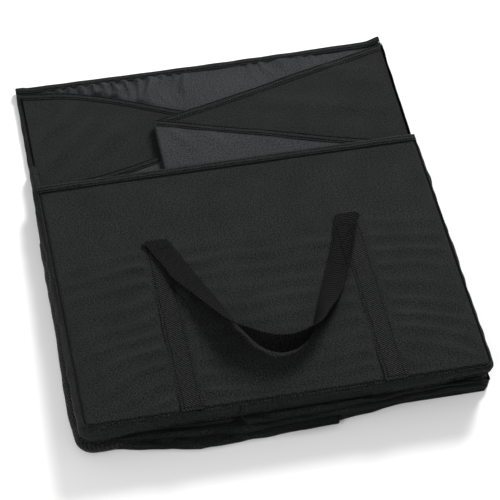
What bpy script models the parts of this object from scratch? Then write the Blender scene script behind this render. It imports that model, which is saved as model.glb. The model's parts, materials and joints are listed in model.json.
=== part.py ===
"""Soft-sided carrying bin, folded flat on its back.

A tall rear panel lies on the floor with a shorter padded front panel above it. Between them
each side is a gusset of two halves that folds inwards, and the bottom is a stack of narrow
pleats. A webbing handle is sewn to the front panel. All panels stay parallel while the
gussets and pleats turn by one common fold angle, so the front panel rises straight up.

X is the width, Y runs from the bottom edge to the open mouth, Z is up.
"""
import math

import bpy
import bmesh
from mathutils import Vector

# Driving sizes, in metres.
PANEL_WIDTH = 0.456
REAR_HEIGHT = 0.560
FRONT_HEIGHT = 0.376
GUSSET_HALF = 0.298  # seam to middle crease, so the open bin is twice this deep
GUSSET_TOP_REAR = 0.546
GUSSET_TOP_CREASE = 0.460
GUSSET_TOP_FRONT = 0.381
PLEATS = 14
SEAM_INSET = 0.004  # the gusset seams lie this far inside the panels' side edges
REAR_STACK = 0.006
GUSSET_LAYER = 0.0031
FRONT_TOP_AT_HEM = 0.0265
FRONT_TOP_AT_FOOT = 0.045
CORNER_RADIUS = 0.022
CLOTH = 0.0012
TAPE = 0.0016
BINDING_WIDTH = 0.010
BINDING_WALL = 0.0010
WEBBING_WIDTH = 0.025
WEBBING = 0.0020
STRAP_CENTRES = (-0.107, 0.119)
STRAP_TOP = 0.258
STRAP_FOOT = 0.001
GAP = 0.0003
LINING = 0.0010
REAR_RELIEF = 0.0002  # the rear panel's top stays this far under the gussets
CORE_MARGIN = 0.001  # the board and the foam end this far inside their covers
PLEAT_MARGIN = 0.002  # the pleats clear the gussets by this much, below and at the sides
CREASE_MARGIN = 0.0005
RIBBON_STEPS = 2

# The handle's two long edges, as (x, y above the panel's foot, height above the front panel's
# face). It lies flat where it leaves the straps and stands on its inner edge at the loop's foot.
HANDLE_EDGES = [
    ((-0.0925, 0.2577, 0.0036), (-0.1205, 0.2577, 0.0036)),
    ((-0.0820, 0.2300, 0.0038), (-0.1055, 0.2190, 0.0058)),
    ((-0.0730, 0.2050, 0.0040), (-0.0970, 0.1930, 0.0080)),
    ((-0.0645, 0.1825, 0.0040), (-0.0840, 0.1690, 0.0110)),
    ((-0.0525, 0.1520, 0.0040), (-0.0690, 0.1400, 0.0170)),
    ((-0.0410, 0.1210, 0.0040), (-0.0540, 0.1110, 0.0230)),
    ((-0.0325, 0.1020, 0.0040), (-0.0410, 0.0940, 0.0262)),
    ((-0.0245, 0.0860, 0.0040), (-0.0260, 0.0820, 0.0280)),
    ((-0.0150, 0.0720, 0.0040), (-0.0150, 0.0740, 0.0285)),
    ((0.0010, 0.0620, 0.0040), (0.0020, 0.0680, 0.0280)),
    ((0.0200, 0.0640, 0.0040), (0.0210, 0.0670, 0.0285)),
    ((0.0350, 0.0750, 0.0040), (0.0400, 0.0740, 0.0280)),
    ((0.0440, 0.0910, 0.0040), (0.0535, 0.0830, 0.0255)),
    ((0.0520, 0.1120, 0.0040), (0.0660, 0.1010, 0.0210)),
    ((0.0610, 0.1360, 0.0040), (0.0810, 0.1240, 0.0125)),
    ((0.0720, 0.1640, 0.0038), (0.0945, 0.1520, 0.0070)),
    ((0.0870, 0.2030, 0.0038), (0.1110, 0.1920, 0.0042)),
    ((0.0970, 0.2320, 0.0036), (0.1230, 0.2260, 0.0036)),
    ((0.1050, 0.2577, 0.0036), (0.1330, 0.2577, 0.0036)),
]

# Sizes that follow from them. Y is measured from the panels' bottom edges.
HALF_WIDTH = PANEL_WIDTH / 2
SEAM_X = HALF_WIDTH - SEAM_INSET
CREASE_X = SEAM_X - GUSSET_HALF
PLEAT_DEPTH = 2 * GUSSET_HALF / PLEATS
PLEAT_SEAM_Y = PLEAT_DEPTH / 2
PLEAT_LAYER = 4 * GUSSET_LAYER / PLEATS
FRONT_UNDERSIDE = REAR_STACK + 4 * GUSSET_LAYER
GUSSET_FOOT_Y = PLEAT_SEAM_Y + PLEAT_MARGIN
PLEAT_REACH = PLEAT_DEPTH - PLEAT_SEAM_Y
ORIGIN_Y = (REAR_HEIGHT - PLEAT_REACH) / 2  # the frame's origin, above the bottom edges

PARTS_COLLECTION = "folding_carry_bin"


def clear_scene():
    for old in list(bpy.data.objects):
        bpy.data.objects.remove(old, do_unlink=True)


def make_material(name, colour, roughness):
    material = bpy.data.materials.new(name)
    material.use_nodes = True
    shader = material.node_tree.nodes["Principled BSDF"]
    shader.inputs["Base Color"].default_value = (*colour, 1.0)
    shader.inputs["Roughness"].default_value = roughness
    shader.inputs["Metallic"].default_value = 0.0
    return material


def level(z):
    """A flat plane at height z."""
    return lambda y: z


def front_face(lift=0.0):
    """The front panel's sloping upper face, raised by lift."""
    slope = (FRONT_TOP_AT_HEM - FRONT_TOP_AT_FOOT) / FRONT_HEIGHT
    return lambda y: FRONT_TOP_AT_FOOT + slope * y + lift


class Body:
    """A group of pieces that move together about one pivot."""

    def __init__(self, name, pivot, parent=None):
        self.pivot = Vector(pivot)
        self.empty = bpy.data.objects.new("pivot_" + name, None)
        self.empty.empty_display_size = 0.02
        collection.objects.link(self.empty)
        self.empty.location = self.pivot - (parent.pivot if parent else Vector())
        if parent:
            self.empty.parent = parent.empty


def filled_outline(name, outline):
    """A closed mesh one metre thick with the given outline, from a filled 2D curve."""
    curve = bpy.data.curves.new(name, "CURVE")
    curve.dimensions = "2D"
    curve.fill_mode = "BOTH"
    curve.extrude = 0.5
    spline = curve.splines.new("POLY")
    spline.points.add(len(outline) - 1)
    for point, (u, v) in zip(spline.points, outline):
        point.co = (u, v, 0.0, 1.0)
    spline.use_cyclic_u = True
    guide = bpy.data.objects.new(name + "_outline", curve)
    collection.objects.link(guide)
    graph = bpy.context.evaluated_depsgraph_get()
    mesh = bpy.data.meshes.new_from_object(guide.evaluated_get(graph))
    bpy.data.objects.remove(guide, do_unlink=True)
    mesh.name = name
    welded = bmesh.new()
    welded.from_mesh(mesh)
    bmesh.ops.remove_doubles(welded, verts=welded.verts, dist=1e-6)
    welded.to_mesh(mesh)
    welded.free()
    return mesh


def add_piece(name, mesh, body, material):
    """Link the mesh as a piece whose own origin is its body's pivot."""
    shift = Vector((0.0, -ORIGIN_Y, 0.0)) - body.pivot
    for vertex in mesh.vertices:
        vertex.co += shift
    mesh.materials.clear()
    mesh.materials.append(material)
    piece = bpy.data.objects.new(name, mesh)
    collection.objects.link(piece)
    piece.parent = body.empty
    return piece


def plate(name, outline, low, high, body, material):
    """A sheet with a plan outline, between the surfaces low(y) and high(y)."""
    mesh = filled_outline(name, outline)
    for vertex in mesh.vertices:
        surface = high if vertex.co.z > 0 else low
        vertex.co.z = surface(vertex.co.y)
    return add_piece(name, mesh, body, material)


def bar(name, profile, left, right, body, material):
    """A strip of constant (y, z) profile that runs across the width."""
    mesh = filled_outline(name, profile)
    for vertex in mesh.vertices:
        y, z, end = vertex.co
        vertex.co = (right if end > 0 else left, y, z)
    return add_piece(name, mesh, body, material)


def arc(centre, radius, start, end, steps=8):
    """Points on a circle from the angle start to end, in degrees."""
    turns = [math.radians(start + (end - start) * i / steps) for i in range(steps + 1)]
    return [(centre[0] + radius * math.cos(a), centre[1] + radius * math.sin(a)) for a in turns]


def panel_outline(top, inset=0.0, bottom=0.0):
    """A panel with square upper corners and round lower ones."""
    side = HALF_WIDTH - inset
    foot = bottom + inset
    radius = CORNER_RADIUS - inset
    left = arc((-side + radius, foot + radius), radius, 180, 270)
    right = arc((side - radius, foot + radius), radius, 270, 360)
    return [(-side, top)] + left + right + [(side, top)]


def edge_strip_outline(top, thickness):
    """The narrow U that follows a panel's sides and foot."""
    return panel_outline(top) + panel_outline(top, thickness)[::-1]


def binding_profile(top, low, high):
    """Tape folded over a panel's top edge, as a C in (y, z) that opens downwards in y."""
    start = top - BINDING_WIDTH
    inner = top - BINDING_WALL
    return [
        (start, low(start)),
        (top, low(top)),
        (top, high(top)),
        (start, high(start)),
        (start, high(start) - BINDING_WALL),
        (inner, high(inner) - BINDING_WALL),
        (inner, low(inner) + BINDING_WALL),
        (start, low(start) + BINDING_WALL),
    ]


def build_rear_panel(body):
    """Outer skin, stiff board and lining inside an edge tape and a folded top binding."""
    inside = TAPE + GAP
    inner_top = REAR_HEIGHT - BINDING_WALL - GAP
    skin_top = REAR_HEIGHT - BINDING_WIDTH - GAP
    lining_top = REAR_STACK - REAR_RELIEF
    lining_low = lining_top - LINING
    plate("rear_outer_skin", panel_outline(skin_top, inside), level(0), level(CLOTH), body, black)
    plate("rear_stiffener_board", panel_outline(inner_top, inside + CORE_MARGIN),
          level(CLOTH + GAP), level(lining_low - GAP), body, board)
    plate("rear_lining", panel_outline(inner_top, inside),
          level(lining_low), level(lining_top), body, lining)
    plate("rear_edge_tape", edge_strip_outline(skin_top, TAPE),
          level(0), level(lining_top), body, black)
    profile = binding_profile(REAR_HEIGHT, level(0), level(REAR_STACK + BINDING_WALL + GAP))
    bar("rear_top_binding", profile, -HALF_WIDTH, HALF_WIDTH, body, black)
    seam_box = rectangle(SEAM_X + GAP, HALF_WIDTH, CORNER_RADIUS, GUSSET_TOP_REAR)
    plate("rear_right_seam_tape", seam_box, level(REAR_STACK + GAP),
          level(REAR_STACK + 2 * GUSSET_LAYER - GAP), body, black)


def build_front_panel(body):
    """Padded panel that is thin at its hem and thick at its foot."""
    inside = TAPE + GAP
    underside = FRONT_UNDERSIDE + GAP / 2
    hem = FRONT_HEIGHT - BINDING_WIDTH - GAP
    inner_top = FRONT_HEIGHT - BINDING_WALL - GAP
    lining_top = underside + LINING
    plate("front_lining", panel_outline(hem, inside),
          level(underside), level(lining_top), body, lining)
    plate("front_padding", panel_outline(inner_top, inside + CORE_MARGIN),
          level(lining_top + GAP), front_face(-CLOTH - GAP), body, foam)
    plate("front_outer_skin", panel_outline(inner_top, inside),
          front_face(-CLOTH), front_face(), body, black)
    plate("front_edge_band", edge_strip_outline(hem, TAPE),
          level(underside), front_face(), body, black)
    profile = binding_profile(FRONT_HEIGHT, level(underside), front_face(BINDING_WALL + GAP))
    bar("front_top_binding", profile, -HALF_WIDTH, HALF_WIDTH, body, black)
    seam_box = rectangle(-HALF_WIDTH, -SEAM_X - GAP, GUSSET_FOOT_Y, FRONT_HEIGHT)
    plate("front_left_seam_tape", seam_box, level(REAR_STACK + 2 * GUSSET_LAYER + GAP),
          level(FRONT_UNDERSIDE - GAP / 2), body, black)
    for side, centre in zip(("left", "right"), STRAP_CENTRES):
        half = WEBBING_WIDTH / 2
        run = rectangle(centre - half, centre + half, STRAP_FOOT, STRAP_TOP)
        plate(f"handle_strap_{side}", run, front_face(GAP), front_face(GAP + WEBBING),
              body, webbing)


def rectangle(left, right, bottom, top):
    return [(left, bottom), (right, bottom), (right, top), (left, top)]


def between(before, start, end, after, t):
    """A point on the smooth curve from start to end, with its neighbours before and after."""
    bend = 2 * before - 5 * start + 4 * end - after
    turn = 3 * start - before - 3 * end + after
    return (2 * start + (end - before) * t + bend * t * t + turn * t ** 3) / 2


def smooth_line(points):
    """The given points with others between them on a smooth curve."""
    ends = [2 * points[0] - points[1]] + points + [2 * points[-1] - points[-2]]
    line = []
    for i in range(len(points) - 1):
        line += [between(*ends[i:i + 4], step / RIBBON_STEPS) for step in range(RIBBON_STEPS)]
    return line + [points[-1]]


def ribbon(name, one_edge, other_edge, thickness):
    """A closed strip of webbing between two edge lines, lofted through its sections."""
    strip = bmesh.new()
    sections = []
    last = len(one_edge) - 1
    for i in range(last + 1):
        before, after = max(i - 1, 0), min(i + 1, last)
        along = one_edge[after] + other_edge[after] - one_edge[before] - other_edge[before]
        across = one_edge[i] - other_edge[i]
        lift = across.cross(along).normalized() * thickness / 2
        corners = [one_edge[i] - lift, other_edge[i] - lift, other_edge[i] + lift, one_edge[i] + lift]
        sections.append([strip.verts.new(corner) for corner in corners])
    for section, following in zip(sections, sections[1:]):
        for i in range(4):
            j = (i + 1) % 4
            strip.faces.new((section[i], section[j], following[j], following[i]))
    strip.faces.new(sections[0][::-1])
    strip.faces.new(sections[-1])
    bmesh.ops.recalc_face_normals(strip, faces=strip.faces)
    mesh = bpy.data.meshes.new(name)
    strip.to_mesh(mesh)
    strip.free()
    return mesh


def build_handle(body):
    """Carrying loop of webbing, which twists so that it stands on edge at the foot of the loop."""
    face = front_face()
    lines = []
    for edge in zip(*HANDLE_EDGES):
        lines.append(smooth_line([Vector((x, y, face(y) + height)) for x, y, height in edge]))
    mesh = ribbon("handle_loop", lines[0], lines[1], WEBBING)
    add_piece("handle_loop", mesh, body, webbing)


def build_gusset_half(name, seam_x, crease_x, seam_top, layer, skin_up, body):
    """One half of a side gusset: skin and lining, with a tape along the sloping top edge."""
    inward = math.copysign(CREASE_MARGIN, crease_x - seam_x)
    seam = seam_x + inward
    crease = crease_x - inward
    slope = (GUSSET_TOP_CREASE - seam_top) / (crease - seam)

    def top(x, drop=0.0):
        return seam_top + slope * (x - seam) - drop

    def half_outline(lower, upper):
        outline = [(seam, lower[0]), (crease, lower[1]), (crease, upper[1]), (seam, upper[0])]
        return outline if crease > seam else outline[::-1]

    low = REAR_STACK + layer * GUSSET_LAYER + GAP / 2
    high = low + GUSSET_LAYER - GAP
    middle = (low + high) / 2
    under_tape = [top(x, BINDING_WIDTH + GAP) for x in (seam, crease)]
    cloth = half_outline((GUSSET_FOOT_Y, GUSSET_FOOT_Y), under_tape)
    layers = [("lining", lining), ("skin", black)]
    if not skin_up:
        layers.reverse()
    (lower_name, lower_material), (upper_name, upper_material) = layers
    plate(f"{name}_{lower_name}", cloth, level(low), level(middle - GAP / 2), body, lower_material)
    plate(f"{name}_{upper_name}", cloth, level(middle + GAP / 2), level(high), body, upper_material)
    tape = half_outline([top(x, BINDING_WIDTH) for x in (seam, crease)],
                        [top(x) for x in (seam, crease)])
    plate(f"{name}_binding", tape, level(low), level(high), body, black)


def build_pleat(number, body):
    low = REAR_STACK + (number - 1) * PLEAT_LAYER + GAP / 2
    high = low + PLEAT_LAYER - GAP
    side = SEAM_X - PLEAT_MARGIN
    outline = rectangle(-side, side, PLEAT_SEAM_Y - PLEAT_DEPTH + GAP, PLEAT_SEAM_Y - GAP)
    plate(f"bottom_pleat_{number:02d}", outline, level(low), level(high), body, black)


def build():
    rear = Body("rear_panel", (0.0, 0.0, 0.0))
    build_rear_panel(rear)

    left_rear = Body("left_gusset_rear", (-SEAM_X, 0.0, REAR_STACK), rear)
    left_front = Body("left_gusset_front", (-CREASE_X, 0.0, REAR_STACK + GUSSET_LAYER), left_rear)
    right_rear = Body("right_gusset_rear", (SEAM_X, 0.0, REAR_STACK + 2 * GUSSET_LAYER), rear)
    right_front = Body("right_gusset_front", (CREASE_X, 0.0, REAR_STACK + 3 * GUSSET_LAYER), right_rear)
    front = Body("front_panel", (-SEAM_X, 0.0, REAR_STACK + 2 * GUSSET_LAYER), left_front)
    handle_axis_z = front_face(1.5 * GAP + WEBBING)(STRAP_TOP)
    handle = Body("handle", (0.0, STRAP_TOP - ORIGIN_Y, handle_axis_z), front)

    build_gusset_half("left_gusset_rear", -SEAM_X, -CREASE_X, GUSSET_TOP_REAR, 0, True, left_rear)
    build_gusset_half("left_gusset_front", -SEAM_X, -CREASE_X, GUSSET_TOP_FRONT, 1, False, left_front)
    build_gusset_half("right_gusset_rear", SEAM_X, CREASE_X, GUSSET_TOP_REAR, 2, True, right_rear)
    build_gusset_half("right_gusset_front", SEAM_X, CREASE_X, GUSSET_TOP_FRONT, 3, False, right_front)
    build_front_panel(front)
    build_handle(handle)

    previous = rear
    for number in range(1, PLEATS + 1):
        fold_y = PLEAT_SEAM_Y if number % 2 else PLEAT_SEAM_Y - PLEAT_DEPTH
        fold_z = REAR_STACK + (number - 1) * PLEAT_LAYER
        pleat = Body(f"bottom_pleat_{number:02d}", (0.0, fold_y - ORIGIN_Y, fold_z), previous)
        build_pleat(number, pleat)
        previous = pleat


clear_scene()
collection = bpy.data.collections.new(PARTS_COLLECTION)
bpy.context.scene.collection.children.link(collection)
black = make_material("black_polyester", (0.021, 0.023, 0.022), 0.85)
lining = make_material("grey_lining", (0.055, 0.057, 0.067), 0.6)
webbing = make_material("black_webbing", (0.019, 0.020, 0.020), 0.75)
foam = make_material("foam", (0.20, 0.20, 0.21), 0.95)
board = make_material("stiff_board", (0.10, 0.10, 0.10), 0.8)
build()
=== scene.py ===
import json
import math

import bpy
import numpy as np
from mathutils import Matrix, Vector


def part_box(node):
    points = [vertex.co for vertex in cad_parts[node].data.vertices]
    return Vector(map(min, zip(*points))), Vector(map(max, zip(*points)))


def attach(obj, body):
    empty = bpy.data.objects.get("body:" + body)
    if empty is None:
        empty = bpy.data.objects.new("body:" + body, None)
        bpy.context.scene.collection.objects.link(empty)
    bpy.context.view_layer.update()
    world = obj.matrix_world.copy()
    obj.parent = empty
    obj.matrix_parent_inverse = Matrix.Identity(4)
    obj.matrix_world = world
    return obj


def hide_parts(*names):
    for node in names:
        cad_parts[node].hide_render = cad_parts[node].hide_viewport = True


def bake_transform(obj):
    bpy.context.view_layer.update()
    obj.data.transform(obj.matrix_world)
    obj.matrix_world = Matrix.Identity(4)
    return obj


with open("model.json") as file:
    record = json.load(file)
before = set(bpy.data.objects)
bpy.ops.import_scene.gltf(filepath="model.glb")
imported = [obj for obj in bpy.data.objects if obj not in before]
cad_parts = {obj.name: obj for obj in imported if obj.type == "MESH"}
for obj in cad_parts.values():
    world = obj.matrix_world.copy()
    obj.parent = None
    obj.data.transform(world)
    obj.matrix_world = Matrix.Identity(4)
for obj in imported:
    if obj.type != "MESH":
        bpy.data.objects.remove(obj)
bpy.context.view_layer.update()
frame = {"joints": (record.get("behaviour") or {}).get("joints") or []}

# Looks of a soft-sided carrying bin that lies folded flat on its tall rear panel. X is the width
# and Z is up. In this file y is measured from the panels' foot edges towards the open mouth, and
# FOOT turns it into the frame's Y.

JOINTS = {joint["name"]: Vector(joint["pos_m"]) for joint in frame["joints"]}
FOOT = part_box("front_edge_band")[0].y
HALF_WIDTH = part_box("front_edge_band")[1].x
REAR_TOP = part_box("rear_top_binding")[1].y - FOOT
FRONT_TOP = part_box("front_top_binding")[1].y - FOOT
REAR_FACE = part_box("rear_lining")[1].z
FRONT_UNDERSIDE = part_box("front_lining")[0].z
FACE_AT_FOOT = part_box("front_edge_band")[1].z
FACE_AT_HEM = 0.0265
SEAM_X = JOINTS["right_rear_seam"].x
PLEAT_INNER_Y = JOINTS["pleat_fold_01"].y - FOOT
PLEAT_OUTER_Y = JOINTS["pleat_fold_02"].y - FOOT
PLEAT_LAYER = JOINTS["pleat_fold_02"].z - JOINTS["pleat_fold_01"].z
STRAPS = {"left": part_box("handle_strap_left"), "right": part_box("handle_strap_right")}

# Cloth thicknesses.
COVER = 0.0014
SKIN = 0.0009
FOLD_SKIN = 0.0004
WEBBING = 0.0020

# Hems and tapes, and how far their rows of stitches lie from the edge.
HEM_WIDTH = 0.012
TAPE_WIDTH = 0.0105
HEM_ROWS = (0.0102, 0.0054)
TAPE_ROWS = (0.0084, 0.0026)
THREAD = 0.00050
STITCH = 0.0030
STITCH_PITCH = 0.0040

# The panels' round lower corners, the front cover's seam and the foot of the seam strips.
PANEL_CORNER = 0.011
SEAM_INSET = 0.0034
STRIP_FOOT = 0.010

# How far a gusset's rear half turns, in degrees.
OPEN_TURN = 88

# The handle's two long edges, as (x, y, height above the front panel's face). It lies flat where
# it leaves the straps and stands on its inner edge at the foot of the loop.
HANDLE_EDGES = [
    ((-0.0925, 0.2577, 0.0036), (-0.1205, 0.2577, 0.0036)),
    ((-0.082, 0.23, 0.0038), (-0.1055, 0.219, 0.0058)),
    ((-0.073, 0.205, 0.004), (-0.097, 0.193, 0.008)),
    ((-0.0645, 0.1825, 0.004), (-0.084, 0.169, 0.011)),
    ((-0.0525, 0.152, 0.004), (-0.069, 0.14, 0.017)),
    ((-0.041, 0.121, 0.004), (-0.054, 0.111, 0.023)),
    ((-0.0325, 0.102, 0.004), (-0.041, 0.094, 0.0262)),
    ((-0.0245, 0.086, 0.004), (-0.026, 0.082, 0.028)),
    ((-0.015, 0.072, 0.004), (-0.015, 0.074, 0.0285)),
    ((0.001, 0.062, 0.004), (0.002, 0.068, 0.028)),
    ((0.02, 0.064, 0.004), (0.021, 0.067, 0.0285)),
    ((0.035, 0.075, 0.004), (0.04, 0.074, 0.028)),
    ((0.044, 0.091, 0.004), (0.0535, 0.083, 0.0255)),
    ((0.052, 0.112, 0.004), (0.066, 0.101, 0.021)),
    ((0.061, 0.136, 0.004), (0.081, 0.124, 0.0125)),
    ((0.072, 0.164, 0.0038), (0.0945, 0.152, 0.007)),
    ((0.087, 0.203, 0.0038), (0.111, 0.192, 0.0042)),
    ((0.097, 0.232, 0.0036), (0.123, 0.226, 0.0036)),
    ((0.105, 0.2577, 0.0036), (0.133, 0.2577, 0.0036)),
]

# The gussets' sloping top edges, as (x, y) from the seam to the crease.
GUSSET_TOPS = {
    ("left", "rear"): [(-0.222, 0.5455), (-0.17, 0.538), (-0.11, 0.517), (-0.038, 0.483),
                       (0.074, 0.456)],
    ("left", "front"): [(-0.222, 0.385), (-0.15, 0.393), (-0.07, 0.412), (0.074, 0.456)],
    ("right", "rear"): [(0.222, 0.54), (0.11, 0.512), (0.01, 0.485), (-0.074, 0.464)],
    ("right", "front"): [(0.222, 0.372), (0.12, 0.401), (0.02, 0.434), (-0.074, 0.464)],
}

# The bottom's seven outward folds: the heights of each one's underside and top side where it sticks
# out past the panels' feet, and the line of its outer edge, as (x, y).
FOLDS = [
    (0.0012, 0.0078, [(-0.218, 0.001), (-0.165, -0.009), (-0.103, -0.0205), (-0.06, -0.019),
                      (-0.02, -0.0175), (0.045, -0.012), (0.13, -0.001), (0.214, 0.003)]),
    (0.008, 0.0096, [(-0.218, 0.004), (-0.15, 0.0), (-0.07, -0.009), (-0.02, -0.0185),
                     (0.051, -0.019), (0.053, -0.004), (0.13, 0.0), (0.214, 0.002)]),
    (0.0098, 0.011, [(-0.218, 0.005), (-0.15, 0.004), (-0.07, 0.0), (-0.01, -0.0165),
                     (0.05, -0.0165), (0.0515, -0.006), (0.13, -0.001), (0.214, 0.001)]),
    (0.0112, 0.0172, [(-0.218, 0.004), (-0.19, 0.001), (-0.13, -0.008), (-0.05, -0.0145),
                      (0.0, -0.012), (0.06, -0.011), (0.13, -0.005), (0.214, -0.001)]),
    (0.0174, 0.0184, [(-0.218, 0.006), (-0.15, 0.005), (-0.07, 0.003), (0.0, -0.008),
                      (0.08, -0.008), (0.13, -0.004), (0.17, 0.0), (0.214, 0.001)]),
    (0.0186, 0.0252, [(-0.218, 0.006), (-0.15, 0.004), (-0.065, -0.004), (-0.056, 0.004),
                      (-0.05, -0.01), (0.02, -0.0095), (0.1, -0.006), (0.14, -0.001), (0.214, 0.0)]),
    (0.0254, 0.0264, [(-0.218, 0.008), (-0.15, 0.008), (-0.06, 0.008), (0.02, 0.006),
                      (0.1, 0.004), (0.128, -0.004), (0.132, 0.004), (0.214, 0.005)]),
]


# --- small helpers ---

def front_face(y):
    """The height of the front panel's sloping upper face."""
    return FACE_AT_FOOT + (FACE_AT_HEM - FACE_AT_FOOT) * y / FRONT_TOP


def ease(value, start, end):
    """0 before start, 1 after end and a smooth step between them."""
    t = np.clip((value - start) / (end - start), 0.0, 1.0)
    return t * t * (3 - 2 * t)


def ripple(x, y, length, seed, waves=7):
    """A smooth random field between about -1 and 1, with features about length across."""
    chance = np.random.default_rng(seed)
    total = np.zeros(np.broadcast(x, y).shape)
    for _ in range(waves):
        turn = chance.uniform(0, math.tau)
        size = length * chance.uniform(0.75, 1.5)
        shift = chance.uniform(0, math.tau)
        total = total + np.sin((x * math.cos(turn) + y * math.sin(turn)) * math.tau / size + shift)
    return total / math.sqrt(waves) / 1.4


def crest(x, y, start, end, width):
    """A soft ridge of height 1 that runs from the point start to the point end."""
    along = np.array(end) - np.array(start)
    t = ((x - start[0]) * along[0] + (y - start[1]) * along[1]) / (along @ along)
    near = np.clip(t, 0, 1)
    off = np.hypot(x - start[0] - near * along[0], y - start[1] - near * along[1])
    return np.exp(-(off / width) ** 2) * np.sin(np.clip(t, 0.02, 0.98) * math.pi) ** 0.5


def groove(place, rows, depth=0.0008, width=0.0009):
    """How deep the rows of stitches pull the cloth down at this place across it."""
    return depth * sum(math.exp(-((place - row) / width) ** 2) for row in rows)


def curve_through(points):
    """A smooth y(x) through a few points."""
    xs, ys = np.array(sorted(points)).T
    slopes = np.gradient(ys, xs)

    def value(x):
        x = np.clip(x, xs[0], xs[-1])
        i = np.clip(np.searchsorted(xs, x) - 1, 0, len(xs) - 2)
        step = xs[i + 1] - xs[i]
        t = (x - xs[i]) / step
        start = (1 + 2 * t) * (1 - t) ** 2 * ys[i] + t * (1 - t) ** 2 * step * slopes[i]
        end = t * t * (3 - 2 * t) * ys[i + 1] + t * t * (t - 1) * step * slopes[i + 1]
        return start + end

    return value


def spline(points, count):
    """Count points along the Catmull-Rom curve through the given ones."""
    points = np.array(points, float)
    ends = np.concatenate([[2 * points[0] - points[1]], points, [2 * points[-1] - points[-2]]])
    place = np.linspace(0, len(points) - 1 - 1e-9, count)
    i = place.astype(int)
    t = (place - i)[:, None]
    before, start, end, after = ends[i], ends[i + 1], ends[i + 2], ends[i + 3]
    bend = 2 * before - 5 * start + 4 * end - after
    turn = 3 * start - before - 3 * end + after
    return (2 * start + (end - before) * t + bend * t * t + turn * t ** 3) / 2


def lengths(points):
    """The running length along a line of points."""
    steps = np.linalg.norm(np.diff(points, axis=0), axis=1)
    return np.concatenate([[0.0], np.cumsum(steps)])


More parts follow.
